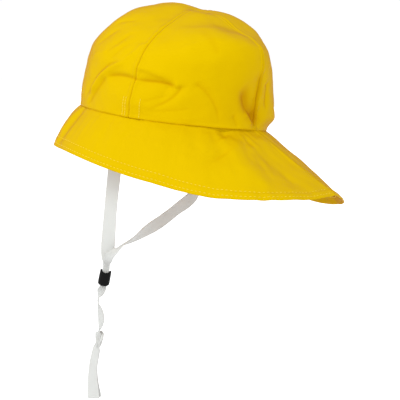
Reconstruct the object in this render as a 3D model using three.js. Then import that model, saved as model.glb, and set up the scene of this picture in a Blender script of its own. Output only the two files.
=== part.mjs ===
// Sou'wester rain hat: a domed crown sewn from four cloth panels, a turned-down brim that is short over the
// face and long over the neck, and two chin tapes that run through a small stopper to a knot.
// Millimetres, +Z up. The face looks along -Y and the wearer's left is +X. The origin is the middle of the
// head opening, level with the seam between crown and brim.

import * as THREE from "three";

// The head opening, measured at the seam between crown and brim
const openingLength = 196;
const openingWidth = 167;

// How far the hat leans back on the head, in degrees
const hatPitch = 3.9;

// Crown
const crownHeight = 109;
const apexSetBack = 10;
const panelPuff = 3.5;

// Brim, measured from the seam: its longest reach outwards and its deepest fall
const brimReach = 94;
const brimFall = 60;

// Cloth and sewing
const clothWall = 1.2;
const seamGap = 0.3;
const hemDepth = 10;
const hemWall = 2.2;

// Where the seams over the ears stand, in degrees from the face
const sideSeam = 92;

// Chin tape. Inside the stopper each tape is folded to foldedWidth and foldedWall.
const tapeWidth = 15;
const tapeWall = 1.1;
const tapeGap = 0.3;
const foldedWidth = 6.6;
const foldedWall = 2;

// Stopper: an oval barrel whose top rim rises to an ear at each end
const stopperWidth = 12;
const stopperDepth = 10;
const stopperHeight = 14.2;
const stopperBore = 0.78;
const stopperEar = 3;
const stopperPlace = { x: 81.5, y: -11.1, z: -156.6 };
const stopperHeading = 123;
const stopperTilt = 6.2;

// Knot
const knotWidth = 10;
const knotDepth = 9;
const knotHeight = 18;
const knotPlace = { x: 81.5, y: -11.8, z: -217.6 };

// The crown's outline from the seam (rise 0) to the apex (rise 1) over the face, the side and the neck.
// The out columns are shares of half the opening that way, the up columns are shares of crownHeight.
const crownSections = [
  { rise: 0.0, faceOut: 1.03, faceUp: 0.0, sideOut: 1.0, sideUp: 0.0, neckOut: 0.975, neckUp: 0.0 },
  { rise: 0.12, faceOut: 1.045, faceUp: 0.13, sideOut: 1.005, sideUp: 0.13, neckOut: 0.94, neckUp: 0.13 },
  { rise: 0.27, faceOut: 1.045, faceUp: 0.3, sideOut: 1.005, sideUp: 0.3, neckOut: 0.93, neckUp: 0.3 },
  { rise: 0.42, faceOut: 1.025, faceUp: 0.48, sideOut: 0.99, sideUp: 0.46, neckOut: 0.93, neckUp: 0.47 },
  { rise: 0.55, faceOut: 0.975, faceUp: 0.64, sideOut: 0.94, sideUp: 0.59, neckOut: 0.91, neckUp: 0.63 },
  { rise: 0.66, faceOut: 0.88, faceUp: 0.78, sideOut: 0.83, sideUp: 0.7, neckOut: 0.845, neckUp: 0.76 },
  { rise: 0.76, faceOut: 0.745, faceUp: 0.9, sideOut: 0.67, sideUp: 0.8, neckOut: 0.71, neckUp: 0.83 },
  { rise: 0.85, faceOut: 0.57, faceUp: 0.985, sideOut: 0.47, sideUp: 0.885, neckOut: 0.5, neckUp: 0.87 },
  { rise: 0.93, faceOut: 0.31, faceUp: 1.035, sideOut: 0.24, sideUp: 0.96, neckOut: 0.25, neckUp: 0.925 },
  { rise: 1.0, faceOut: 0.0, faceUp: 0.98, sideOut: 0.0, sideUp: 0.98, neckOut: 0.0, neckUp: 0.98 },
];

// Broad dents and bulges of the crown. long and wide are half sizes as shares of crownHeight, turn is the
// angle of the long way from level, in degrees, and depth a share of crownHeight, inwards where negative.
const crownFolds = [
  { around: 210, rise: 0.1, turn: 0, long: 0.4, wide: 0.3, depth: 0.08 },
  { around: 225, rise: 0.6, turn: 0, long: 0.25, wide: 0.2, depth: -0.09 },
  { around: 235, rise: 0.9, turn: 0, long: 0.15, wide: 0.25, depth: 0.12 },
  { around: 175, rise: 0.95, turn: 0, long: 0.2, wide: 0.1, depth: 0.06 },
  { around: 45, rise: 0.65, turn: 0, long: 0.35, wide: 0.2, depth: -0.02 },
  { around: 96, rise: 0.38, turn: 0, long: 0.3, wide: 0.09, depth: 0.014 },
  { around: 96, rise: 0.3, turn: -2, long: 0.32, wide: 0.09, depth: -0.024 },
  { around: 66, rise: 0.27, turn: 52, long: 0.24, wide: 0.09, depth: -0.02 },
  { around: 100, rise: 0.15, turn: 0, long: 0.3, wide: 0.15, depth: 0.02 },
  { around: 143, rise: 0.2, turn: 125, long: 0.2, wide: 0.09, depth: -0.022 },
  { around: 154, rise: 0.2, turn: 110, long: 0.2, wide: 0.1, depth: 0.018 },
  { around: 166, rise: 0.24, turn: 70, long: 0.16, wide: 0.09, depth: -0.028 },
];

// Gathers and waves of the brim. long and wide are half sizes as shares of brimReach, long outwards along
// the brim when turn is 0, and depth a share of brimReach, downwards where negative.
const brimFolds = [
  { around: 97, across: 0.25, turn: 0, long: 0.35, wide: 0.08, depth: -0.014 },
  { around: 131, across: 0.3, turn: 0, long: 0.4, wide: 0.08, depth: -0.018 },
  { around: 144, across: 0.42, turn: 12, long: 0.5, wide: 0.1, depth: -0.02 },
  { around: 152, across: 0.5, turn: 10, long: 0.45, wide: 0.11, depth: 0.018 },
  { around: 168, across: 0.62, turn: 8, long: 0.45, wide: 0.13, depth: -0.02 },
  { around: 178, across: 0.3, turn: 0, long: 0.35, wide: 0.09, depth: 0.012 },
  { around: 116, across: 0.6, turn: 0, long: 0.4, wide: 0.14, depth: 0.014 },
  { around: 50, across: 0.5, turn: 0, long: 0.4, wide: 0.08, depth: -0.012 },
];

// The brim's edge, once round from the neck over the wearer's right, the face and the left. out is a
// share of brimReach and fall a share of brimFall. bow is how far the cloth stands above a straight line
// from seam to edge, as a share of that line's length. lift raises the seam itself, as a share of brimFall.
const brimSections = [
  { around: -180, out: 1.025, fall: 0.68, bow: -0.01, lift: 0.06 },
  { around: -168, out: 0.965, fall: 0.83, bow: 0.015, lift: 0.05 },
  { around: -157, out: 0.88, fall: 0.94, bow: 0.03, lift: 0.03 },
  { around: -144, out: 0.64, fall: 1.03, bow: 0.05, lift: 0.02 },
  { around: -120, out: 0.36, fall: 0.9, bow: 0.05, lift: 0 },
  { around: -90, out: 0.26, fall: 0.77, bow: 0.05, lift: 0 },
  { around: -60, out: 0.25, fall: 0.69, bow: 0.05, lift: 0 },
  { around: -30, out: 0.24, fall: 0.7, bow: 0.05, lift: 0 },
  { around: 0, out: 0.245, fall: 0.67, bow: 0.05, lift: 0 },
  { around: 30, out: 0.235, fall: 0.7, bow: 0.05, lift: 0 },
  { around: 60, out: 0.25, fall: 0.69, bow: 0.05, lift: 0 },
  { around: 90, out: 0.28, fall: 0.785, bow: 0.05, lift: 0 },
  { around: 120, out: 0.42, fall: 0.89, bow: 0.05, lift: 0.02 },
  { around: 135, out: 0.66, fall: 0.905, bow: 0.04, lift: 0.04 },
  { around: 150, out: 0.915, fall: 0.83, bow: 0.02, lift: 0.05 },
  { around: 165, out: 0.99, fall: 0.76, bow: 0.0, lift: 0.06 },
  { around: 180, out: 1.025, fall: 0.68, bow: -0.01, lift: 0.06 },
];

const rad = THREE.MathUtils.degToRad;

// A column of a table at any place along it, on a smooth curve through its rows. key names the column that
// the rows are sorted by.
function fromTable(table, key, column, place) {
  const last = table.length - 1;
  let i = 0;
  while (i < last - 1 && place > table[i + 1][key]) i += 1;
  const low = table[i];
  const high = table[i + 1];
  const before = table[Math.max(i - 1, 0)];
  const after = table[Math.min(i + 2, last)];
  const span = high[key] - low[key];
  const t = (place - low[key]) / span;
  const enter = ((high[column] - before[column]) / (high[key] - before[key])) * span;
  const leave = ((after[column] - low[column]) / (after[key] - low[key])) * span;
  return (
    (2 * t ** 3 - 3 * t ** 2 + 1) * low[column] +
    (t ** 3 - 2 * t ** 2 + t) * enter +
    (3 * t ** 2 - 2 * t ** 3) * high[column] +
    (t ** 3 - t ** 2) * leave
  );
}

// An angle from the face brought between -180 and 180
function halfTurn(around) {
  return ((((around + 180) % 360) + 360) % 360) - 180;
}

// Unit vector outwards at an angle from the face
function outwards(around) {
  return new THREE.Vector3(Math.sin(rad(around)), -Math.cos(rad(around)), 0);
}

// How far the crown stands out and up at an angle, blended from the face, side and neck outlines
function crownOutline(around, rise) {
  const endways = Math.cos(rad(around)) ** 2;
  const end = Math.cos(rad(around)) > 0 ? "face" : "neck";
  const blend = (what) =>
    endways * fromTable(crownSections, "rise", end + what, rise) +
    (1 - endways) * fromTable(crownSections, "rise", "side" + what, rise);
  return { out: blend("Out"), up: blend("Up") };
}

// How far dents and bulges move the cloth at a place of the crown
function crownRelief(around, rise) {
  const girth = (Math.PI / 180) * (openingLength / 2) * Math.cos((rise * Math.PI) / 2);
  const climb = crownHeight * 1.35;
  let relief = 0;
  for (const fold of crownFolds) {
    const level = (halfTurn(around - fold.around) * girth) / crownHeight;
    const upward = ((rise - fold.rise) * climb) / crownHeight;
    const cos = Math.cos(rad(fold.turn));
    const sin = Math.sin(rad(fold.turn));
    const along = (level * cos + upward * sin) / fold.long;
    const across = (upward * cos - level * sin) / fold.wide;
    relief += crownHeight * fold.depth * Math.exp(-(along ** 2) - across ** 2);
  }
  return relief * Math.min(1, rise * 8) * (1 - rise ** 8);
}

// The crown's outer face. rise runs from 0 at the seam to 1 at the apex.
function crownPoint(around, rise) {
  const { out, up } = crownOutline(around, rise);
  const way = outwards(around);
  const point = new THREE.Vector3((way.x * openingWidth) / 2, (way.y * openingLength) / 2, 0);
  point.multiplyScalar(out);
  point.y += apexSetBack * up * up;
  point.z = crownHeight * up + seamLift(around) * (1 - rise) ** 2;
  const puff = panelPuff * Math.sin(rad(2 * around)) ** 2 * Math.sin(Math.PI * rise ** 2) ** 2;
  const relief = puff + crownRelief(around, rise);
  point.addScaledVector(way, relief * Math.cos((rise * Math.PI) / 2));
  point.z += relief * Math.sin((rise * Math.PI) / 2);
  return point;
}

// How high the seam between crown and brim stands above the plane of the opening
function seamLift(around) {
  return brimFall * fromTable(brimSections, "around", "lift", halfTurn(around));
}

// How far out from the seam and down the brim's edge lies at an angle
function brimLeg(around) {
  const angle = halfTurn(around);
  return {
    out: brimReach * fromTable(brimSections, "around", "out", angle),
    fall: brimFall * fromTable(brimSections, "around", "fall", angle) + seamLift(around),
    bow: fromTable(brimSections, "around", "bow", angle),
  };
}

// How far gathers and waves lift the cloth at a place of the brim
function brimRelief(around, across, leg) {
  const radius = openingLength / 2 + leg.out * across;
  const length = Math.hypot(leg.out, leg.fall);
  let relief = 0;
  for (const fold of brimFolds) {
    const aside = (rad(halfTurn(around - fold.around)) * radius) / brimReach;
    const outward = ((across - fold.across) * length) / brimReach;
    const cos = Math.cos(rad(fold.turn));
    const sin = Math.sin(rad(fold.turn));
    const along = (outward * cos + aside * sin) / fold.long;
    const beside = (aside * cos - outward * sin) / fold.wide;
    relief += brimReach * fold.depth * Math.exp(-(along ** 2) - beside ** 2);
  }
  return relief * Math.min(1, across * 6);
}

// The brim's upper face. across runs from 0 at the seam to 1 at the edge.
function brimPoint(around, across) {
  const leg = brimLeg(around);
  const length = Math.hypot(leg.out, leg.fall);
  const lifted = 4 * across * (1 - across) * leg.bow * length + brimRelief(around, across, leg);
  const sideways = leg.out * across + (lifted * leg.fall) / length;
  const point = crownPoint(around, 0).addScaledVector(outwards(around), sideways);
  point.z += -leg.fall * across + (lifted * leg.out) / length;
  return point;
}

// A closed wall of cloth between two faces. face(u, v) is the outer face for u and v from 0 to 1,
// wall(u, v) its thickness, measured inwards along the face's own normal.
function clothShell(face, wall, columns, rows) {
  const positions = [];
  const step = 1e-3;
  for (const side of [0, 1]) {
    for (let j = 0; j <= rows; j += 1) {
      for (let i = 0; i <= columns; i += 1) {
        const u = i / columns;
        const v = j / rows;
        const point = face(u, v);
        if (side === 1) {
          const alongU = face(Math.min(u + step, 1), v).sub(face(Math.max(u - step, 0), v));
          const alongV = face(u, Math.min(v + step, 1)).sub(face(u, Math.max(v - step, 0)));
          point.addScaledVector(alongU.cross(alongV).normalize(), -wall(u, v));
        }
        positions.push(point.x, point.y, point.z);
      }
    }
  }
  const layer = (columns + 1) * (rows + 1);
  const at = (side, i, j) => side * layer + j * (columns + 1) + i;
  const indices = [];
  const quad = (a, b, c, d) => indices.push(a, b, c, a, c, d);
  for (let j = 0; j < rows; j += 1) {
    for (let i = 0; i < columns; i += 1) {
      quad(at(0, i, j), at(0, i + 1, j), at(0, i + 1, j + 1), at(0, i, j + 1));
      quad(at(1, i, j), at(1, i, j + 1), at(1, i + 1, j + 1), at(1, i + 1, j));
    }
  }
  for (let i = 0; i < columns; i += 1) {
    quad(at(0, i, 0), at(1, i, 0), at(1, i + 1, 0), at(0, i + 1, 0));
    quad(at(0, i, rows), at(0, i + 1, rows), at(1, i + 1, rows), at(1, i, rows));
  }
  for (let j = 0; j < rows; j += 1) {
    quad(at(0, 0, j), at(0, 0, j + 1), at(1, 0, j + 1), at(1, 0, j));
    quad(at(0, columns, j), at(1, columns, j), at(1, columns, j + 1), at(0, columns, j + 1));
  }
  const geometry = new THREE.BufferGeometry();
  geometry.setAttribute("position", new THREE.Float32BufferAttribute(positions, 3));
  geometry.setIndex(indices);
  geometry.computeVertexNormals();
  return geometry;
}

const yellowCloth = { color: 0xf0d000, roughness: 0.45, metalness: 0 };

function clothMesh(name, geometry) {
  const mesh = new THREE.Mesh(geometry, new THREE.MeshStandardMaterial(yellowCloth));
  mesh.name = name;
  return mesh;
}

// One crown panel between the seams at two angles. Its side edges stay half a seam gap off the seam lines.
function crownPanel(name, from, to) {
  const tip = 0.985;
  const face = (u, v) => {
    const rise = v * tip;
    const middle = crownPoint((from + to) / 2, rise);
    const radius = Math.hypot(middle.x, middle.y - apexSetBack);
    const inset = THREE.MathUtils.radToDeg(seamGap / 2 / radius);
    const around = from + inset + u * (to - from - 2 * inset);
    const point = crownPoint(around, rise);
    point.z += (1 - v) * (seamGap / 2);
    return point;
  };
  return clothMesh(name, clothShell(face, () => clothWall, 16, 18));
}

// The brim in one length, open by a seam gap at the centre back. Its rows run from the edge to the seam, and
// the wall is doubled where the hem is turned under.
function brim() {
  const halfSlit = THREE.MathUtils.radToDeg(seamGap / 2 / (openingLength / 2));
  const rows = 10;
  const hemRows = 2;
  const angleAt = (u) => -180 + halfSlit + u * (360 - 2 * halfSlit);
  const fromEdge = (u, v) => {
    const leg = brimLeg(angleAt(u));
    const hem = hemDepth / Math.hypot(leg.out, leg.fall);
    const row = v * rows;
    if (row <= hemRows) return (row / hemRows) * hem;
    if (row <= hemRows + 1) return hem * (1 + 0.3 * (row - hemRows));
    return hem * 1.3 + ((row - hemRows - 1) / (rows - hemRows - 1)) * (1 - hem * 1.3);
  };
  const face = (u, v) => {
    const point = brimPoint(angleAt(u), 1 - fromEdge(u, v));
    point.z -= v * (seamGap / 2);
    return point;
  };
  const wall = (u, v) => (v * rows < hemRows + 0.5 ? hemWall : clothWall);
  return clothMesh("brim", clothShell(face, wall, 96, rows));
}

// The middle line of each tape in world places, with the tape's turn about that line in degrees, its width
// and thickness there, and how far it stands aside of the line. At turn 0 the width lies along Y. In the
// rows that both tapes share, apart is the gap between them.
const leftHang = [
  { x: 80.5, y: -9.2, z: 4.4, turn: 5, wide: tapeWidth, thick: tapeWall, aside: 0 },
  { x: 80.6, y: -9.3, z: -22.8, turn: 2, wide: tapeWidth, thick: tapeWall, aside: 0 },
  { x: 80.6, y: -10, z: -52.8, turn: -3, wide: tapeWidth, thick: tapeWall, aside: 0 },
  { x: 80.6, y: -11.1, z: -90.7, turn: 0, wide: tapeWidth, thick: tapeWall, aside: 0 },
  { x: 80.6, y: -11, z: -119.9, turn: -8, wide: tapeWidth, thick: tapeWall, aside: 0 },
  { x: 80.4, y: -10.9, z: -135.5, turn: -26, wide: 0.8 * tapeWidth, thick: 1.7, aside: 0.4 },
];
const rightHang = [
  { x: -80.5, y: -9.2, z: 4.4, turn: -5, wide: tapeWidth, thick: tapeWall, aside: 0 },
  { x: -80.4, y: -10.6, z: -22, turn: 10, wide: tapeWidth, thick: tapeWall, aside: 0 },
  { x: -78, y: -12.4, z: -48.5, turn: 55, wide: tapeWidth, thick: tapeWall, aside: 0 },
  { x: -67, y: -12.7, z: -78.4, turn: 94, wide: tapeWidth, thick: tapeWall, aside: 0 },
  { x: -38, y: -13.8, z: -93.9, turn: 82, wide: tapeWidth, thick: tapeWall, aside: 0 },
  { x: -8, y: -11.9, z: -105.5, turn: 69, wide: tapeWidth, thick: tapeWall, aside: 0 },
  { x: 20, y: -8.7, z: -112.6, turn: 46, wide: tapeWidth, thick: tapeWall, aside: 0 },
  { x: 47, y: -4.6, z: -118.8, turn: 3, wide: tapeWidth, thick: tapeWall, aside: 0 },
  { x: 68, y: 1.1, z: -121.1, turn: -20, wide: tapeWidth, thick: tapeWall, aside: 0 },
  { x: 83, y: 3.9, z: -124.8, turn: 31, wide: tapeWidth, thick: tapeWall, aside: 0 },
  { x: 87, y: 0.4, z: -130.8, turn: 33, wide: 0.8 * tapeWidth, thick: 1.3, aside: 0 },
  { x: 85.2, y: -5.6, z: -137.4, turn: -12, wide: 0.6 * tapeWidth, thick: 1.7, aside: -0.6 },
];
const toKnot = [
  { x: 81.5, y: -9.9, z: -143.4, turn: -33, wide: 6.8, thick: foldedWall, apart: 2 * tapeGap },
  { x: 81.2, y: -10.4, z: -149, turn: -33, wide: foldedWidth, thick: foldedWall, apart: tapeGap },
  { x: 81.5, y: -11.1, z: -156.5, turn: -33, wide: foldedWidth, thick: foldedWall, apart: tapeGap },
  { x: 81.5, y: -12, z: -165, turn: -33, wide: foldedWidth, thick: foldedWall, apart: tapeGap },
  { x: 81.5, y: -14.7, z: -171.3, turn: 12, wide: 8, thick: 1.5, apart: tapeGap },
  { x: 81.5, y: -16.5, z: -176.5, turn: 54, wide: 9, thick: tapeWall, apart: tapeGap },
  { x: 81.5, y: -16.3, z: -182.3, turn: 57, wide: 10, thick: tapeWall, apart: tapeGap },
  { x: 81.5, y: -13.6, z: -188.8, turn: 46, wide: 11, thick: tapeWall, apart: tapeGap },
  { x: 81.5, y: -11.5, z: -195.4, turn: 36, wide: 11, thick: tapeWall, apart: tapeGap },
  { x: 81.5, y: -11.6, z: -202.3, turn: 42, wide: 10, thick: tapeWall, apart: tapeGap },
  { x: 81.5, y: -12.9, z: -209.6, turn: 52, wide: 8, thick: tapeWall, apart: tapeGap },
];
const leftTail = [
  { x: 81.5, y: -14, z: -226, turn: 38, wide: 11, thick: 1.4, aside: -0.9 },
  { x: 81.5, y: -15, z: -233, turn: 24, wide: 14, thick: tapeWall, aside: -0.8 },
  { x: 81.5, y: -16.3, z: -243, turn: 16, wide: tapeWidth, thick: tapeWall, aside: -0.9 },
  { x: 81.5, y: -15.9, z: -254.4, turn: 6, wide: tapeWidth, thick: tapeWall, aside: -0.9 },
  { x: 81.5, y: -14.4, z: -265, turn: 4, wide: tapeWidth, thick: tapeWall, aside: -0.9 },
  { x: 81.5, y: -12.5, z: -276, turn: 3, wide: tapeWidth, thick: tapeWall, aside: -1.1 },
];
const rightTail = [
  { x: 81.5, y: -13.6, z: -226, turn: 38, wide: 11, thick: 1.4, aside: 0.9 },
  { x: 81.5, y: -14.6, z: -233, turn: 24, wide: 14, thick: tapeWall, aside: 0.8 },
  { x: 81.5, y: -15.9, z: -243, turn: 16, wide: tapeWidth, thick: tapeWall, aside: 0.9 },
  { x: 81.5, y: -15.3, z: -254.4, turn: 4, wide: tapeWidth, thick: tapeWall, aside: 0.9 },
  { x: 81.5, y: -13.4, z: -265, turn: 0, wide: tapeWidth, thick: tapeWall, aside: 0.9 },
  { x: 81.5, y: -10.9, z: -275, turn: -4, wide: tapeWidth, thick: tapeWall, aside: 1.2 },
];

// The rows that both tapes share on their way to the knot, moved aside so that the tapes lie face to face
function sharedRows(side) {
  return toKnot.map((row) => ({ ...row, aside: (side * (row.thick + row.apart)) / 2 }));
}

// One flat tape as a closed solid: a rectangle carried along the rows, with even steps between two rows
function tape(name, rows, steps) {
  let run = 0;
  const measured = rows.map((row, i) => {
    if (i > 0) run += Math.hypot(row.x - rows[i - 1].x, row.y - rows[i - 1].y, row.z - rows[i - 1].z);
    return { ...row, run };
  });
  const read = (column, place) => fromTable(measured, "run", column, place);
  const middle = (place) => new THREE.Vector3(read("x", place), read("y", place), read("z", place));
  const positions = [];
  const sections = (rows.length - 1) * steps;
  for (let k = 0; k <= sections; k += 1) {
    const low = Math.min(Math.floor(k / steps), rows.length - 2);
    const share = k / steps - low;
    const place = measured[low].run + share * (measured[low + 1].run - measured[low].run);
    const onward = middle(Math.min(place + 0.5, run)).sub(middle(Math.max(place - 0.5, 0))).normalize();
    const level = onward.clone().cross(new THREE.Vector3(1, 0, 0)).normalize();
    const width = level.applyAxisAngle(onward, rad(read("turn", place)));
    const face = onward.clone().cross(width);
    for (const [across, through] of [[-1, -1], [1, -1], [1, 1], [-1, 1]]) {
      const corner = middle(place);
      corner.addScaledVector(width, (across * read("wide", place)) / 2);
      corner.addScaledVector(face, read("aside", place) + (through * read("thick", place)) / 2);
      positions.push(corner.x, corner.y, corner.z);
    }
  }
  const indices = [2, 1, 0, 3, 2, 0];
  for (let k = 0; k < sections; k += 1) {
    for (let i = 0; i < 4; i += 1) {
      const a = 4 * k + i;
      const b = 4 * k + ((i + 1) % 4);
      if (i === 2) indices.push(a, b, a + 4, b, b + 4, a + 4);
      else indices.push(a, b, b + 4, a, b + 4, a + 4);
    }
  }
  const last = 4 * sections;
  indices.push(last, last + 1, last + 2, last, last + 2, last + 3);
  const geometry = new THREE.BufferGeometry();
  geometry.setAttribute("position", new THREE.Float32BufferAttribute(positions, 3));
  geometry.setIndex(indices);
  geometry.computeVertexNormals();
  const tapeCloth = { color: 0xe2e4e0, roughness: 0.9, metalness: 0 };
  const mesh = new THREE.Mesh(geometry, new THREE.MeshStandardMaterial(tapeCloth));
  mesh.name = name;
  return mesh;
}

// The stopper: one oval barrel turned from a profile of radii as shares of half its width and heights as
// shares of its height, its top rim drawn up into two ears and its bottom rim slightly rounded downwards
function stopper() {
  const profile = [
    { radius: stopperBore, up: 0.02 },
    { radius: 0.87, up: 0.0 },
    { radius: 0.95, up: 0.04 },
    { radius: 0.99, up: 0.13 },
    { radius: 1.0, up: 0.4 },
    { radius: 0.98, up: 0.7 },
    { radius: 0.95, up: 0.93 },
    { radius: 0.9, up: 0.99 },
    { radius: 0.84, up: 1.0 },
    { radius: stopperBore, up: 0.98 },
  ];
  const points = profile.map((row) => new THREE.Vector2(row.radius, row.up));
  points.push(points[0].clone());
  const geometry = new THREE.LatheGeometry(points, 28);
  geometry.rotateX(rad(90));
  const place = geometry.attributes.position;
  for (let i = 0; i < place.count; i += 1) {
    const x = place.getX(i);
    const y = place.getY(i);
    const up = place.getZ(i);
    const crosswise = y ** 2 / (x ** 2 + y ** 2);
    const dip = stopperEar * crosswise * up ** 3 + 1.1 * crosswise * (1 - up) ** 3;
    const z = (up - 0.5) * stopperHeight + (stopperEar / 2) * up ** 3 - dip;
    place.setXYZ(i, (x * stopperWidth) / 2, (y * stopperDepth) / 2, z);
  }
  geometry.computeVertexNormals();
  const blackPlastic = { color: 0x111111, roughness: 0.4, metalness: 0 };
  const mesh = new THREE.Mesh(geometry, new THREE.MeshStandardMaterial(blackPlastic));
  mesh.rotation.set(0, rad(stopperTilt), rad(stopperHeading), "ZYX");
  mesh.position.copy(stopperPlace);
  mesh.name = "stopper";
  return mesh;
}

// The knot, a rounded lump with the tape's turns standing out of it. side and up give each lump's direction,
// as longitude and latitude in degrees, tight how narrow it is and swell how far it stands out.
function strapKnot() {
  const lumps = [
    { side: 0, up: -5, tight: 5, swell: 0.3 },
    { side: 180, up: 35, tight: 7, swell: 0.12 },
    { side: 180, up: -35, tight: 7, swell: 0.12 },
    { side: 270, up: 10, tight: 5, swell: 0.12 },
    { side: 90, up: -10, tight: 5, swell: 0.12 },
    { side: 0, up: 48, tight: 9, swell: -0.22 },
    { side: 0, up: -58, tight: 9, swell: -0.2 },
    { side: 235, up: -5, tight: 14, swell: -0.1 },
  ];
  const geometry = new THREE.SphereGeometry(1, 18, 12);
  geometry.rotateX(rad(90));
  const place = geometry.attributes.position;
  for (let i = 0; i < place.count; i += 1) {
    const way = new THREE.Vector3().fromBufferAttribute(place, i).normalize();
    let reach = 0.86;
    for (const lump of lumps) {
      const flat = Math.cos(rad(lump.up));
      const toward = new THREE.Vector3(flat * Math.cos(rad(lump.side)), flat * Math.sin(rad(lump.side)), 0);
      toward.z = Math.sin(rad(lump.up));
      reach += lump.swell * Math.exp(lump.tight * (way.dot(toward) - 1));
    }
    const box = 0.5 * (Math.abs(way.x) ** 4 + Math.abs(way.y) ** 4 + Math.abs(way.z) ** 4) ** -0.25 + 0.5;
    way.multiplyScalar(reach * box);
    place.setXYZ(i, (way.x * knotWidth) / 2, (way.y * knotDepth) / 2, (way.z * knotHeight) / 2);
  }
  geometry.computeVertexNormals();
  const knotCloth = { color: 0xe2e4e0, roughness: 0.9, metalness: 0 };
  const mesh = new THREE.Mesh(geometry, new THREE.MeshStandardMaterial(knotCloth));
  mesh.rotation.set(0, rad(-4), rad(stopperHeading), "ZYX");
  mesh.position.copy(knotPlace);
  mesh.name = "strap_knot";
  return mesh;
}

const hat = new THREE.Group();
hat.rotation.x = -rad(hatPitch);
hat.add(crownPanel("crown_panel_front_left", 0, sideSeam));
hat.add(crownPanel("crown_panel_back_left", sideSeam, 180));
hat.add(crownPanel("crown_panel_back_right", 180, 360 - sideSeam));
hat.add(crownPanel("crown_panel_front_right", 360 - sideSeam, 360));
hat.add(brim());

const souwester = new THREE.Group();
souwester.add(hat);
souwester.add(tape("strap_left", [...leftHang, ...sharedRows(1)], 2));
souwester.add(tape("strap_right", [...rightHang, ...sharedRows(-1)], 2));
souwester.add(stopper());
souwester.add(strapKnot());
souwester.add(tape("strap_tail_left", leftTail, 2));
souwester.add(tape("strap_tail_right", rightTail, 2));

export default souwester;
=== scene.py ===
import math

import bpy
import numpy as np
from mathutils import Matrix, Vector


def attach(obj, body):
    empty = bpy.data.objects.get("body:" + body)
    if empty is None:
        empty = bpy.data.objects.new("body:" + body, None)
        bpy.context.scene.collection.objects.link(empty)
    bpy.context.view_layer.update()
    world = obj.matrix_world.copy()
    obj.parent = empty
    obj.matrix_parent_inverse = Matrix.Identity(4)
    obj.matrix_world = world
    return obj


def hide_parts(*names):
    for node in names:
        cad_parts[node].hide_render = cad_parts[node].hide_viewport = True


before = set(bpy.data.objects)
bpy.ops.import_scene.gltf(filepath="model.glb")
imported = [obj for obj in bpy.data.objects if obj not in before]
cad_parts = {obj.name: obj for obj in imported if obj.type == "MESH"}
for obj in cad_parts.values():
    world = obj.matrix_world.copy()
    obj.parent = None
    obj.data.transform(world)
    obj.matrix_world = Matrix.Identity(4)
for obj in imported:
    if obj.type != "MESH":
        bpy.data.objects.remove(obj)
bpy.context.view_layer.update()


def named(names, rows):
    return [dict(zip(names, row)) for row in rows]


# The crown is four gores of yellow coated cotton, under a millimetre thick. They are sewn together over the
# face, both ears and the neck with their edges turned in, and the soft cloth keeps its dents and creases.
# The brim's cloth is cut from the same roll, so its shape starts from the crown's lowest ring.
opening_length = 0.196
opening_width = 0.167
hat_pitch = 3.9
crown_height = 0.109
apex_set_back = 0.010
panel_puff = 0.0035
brim_reach = 0.094
brim_fall = 0.060
side_seam = 92
cloth_wall = 0.0009
# The way from the crown's seam to its apex along the cloth, as a share of crown_height
crown_climb = 1.35
# On flat cloth, in millimetres: one degree round the crown's seam, and the way from that seam to the apex
seam_degree = 1.6
seam_to_apex = 147

# The crown's outline over the face, the side and the neck, and the brim's edge once round from the neck, all
# as shares: out and up of half the opening and crown_height, then out and fall of brim_reach and brim_fall
crown_columns = ("rise", "face_out", "face_up", "side_out", "side_up", "neck_out", "neck_up")
brim_edge_columns = ("around", "out", "fall", "bow", "lift")
crown_sections = named(crown_columns, [
    (0.0, 1.03, 0.0, 1.0, 0.0, 0.975, 0.0),
    (0.12, 1.045, 0.13, 1.005, 0.13, 0.94, 0.13),
    (0.27, 1.045, 0.3, 1.005, 0.3, 0.93, 0.3),
    (0.42, 1.025, 0.48, 0.99, 0.46, 0.93, 0.47),
    (0.55, 0.975, 0.64, 0.94, 0.59, 0.91, 0.63),
    (0.66, 0.88, 0.78, 0.83, 0.7, 0.845, 0.76),
    (0.76, 0.745, 0.9, 0.67, 0.8, 0.71, 0.83),
    (0.85, 0.57, 0.985, 0.47, 0.885, 0.5, 0.87),
    (0.93, 0.31, 1.035, 0.24, 0.96, 0.25, 0.925),
    (1.0, 0.0, 0.98, 0.0, 0.98, 0.0, 0.98),
])
brim_sections = named(brim_edge_columns, [
    (-180, 1.025, 0.68, -0.01, 0.06),
    (-168, 0.965, 0.83, 0.015, 0.05),
    (-157, 0.88, 0.94, 0.03, 0.03),
    (-144, 0.64, 1.03, 0.05, 0.02),
    (-120, 0.36, 0.9, 0.05, 0),
    (-90, 0.26, 0.77, 0.05, 0),
    (-60, 0.25, 0.69, 0.05, 0),
    (-30, 0.24, 0.7, 0.05, 0),
    (0, 0.245, 0.67, 0.05, 0),
    (30, 0.235, 0.7, 0.05, 0),
    (60, 0.25, 0.69, 0.05, 0),
    (90, 0.28, 0.785, 0.05, 0),
    (120, 0.42, 0.89, 0.05, 0.02),
    (135, 0.66, 0.905, 0.04, 0.04),
    (150, 0.915, 0.83, 0.02, 0.05),
    (165, 0.99, 0.76, 0.0, 0.06),
    (180, 1.025, 0.68, -0.01, 0.06),
])
crown_fold_columns = ("around", "rise", "turn", "long", "wide", "depth")
# Broad dents and bulges: long and wide are half sizes and depth a height, all as shares of crown_height
crown_folds = named(crown_fold_columns, [
    (210, 0.1, 0, 0.4, 0.3, 0.08),
    (225, 0.6, 0, 0.25, 0.2, -0.09),
    (235, 0.9, 0, 0.15, 0.25, 0.12),
    (175, 0.95, 0, 0.2, 0.1, 0.06),
    (45, 0.65, 0, 0.35, 0.2, -0.02),
    (100, 0.15, 0, 0.3, 0.15, 0.02),
])


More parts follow.
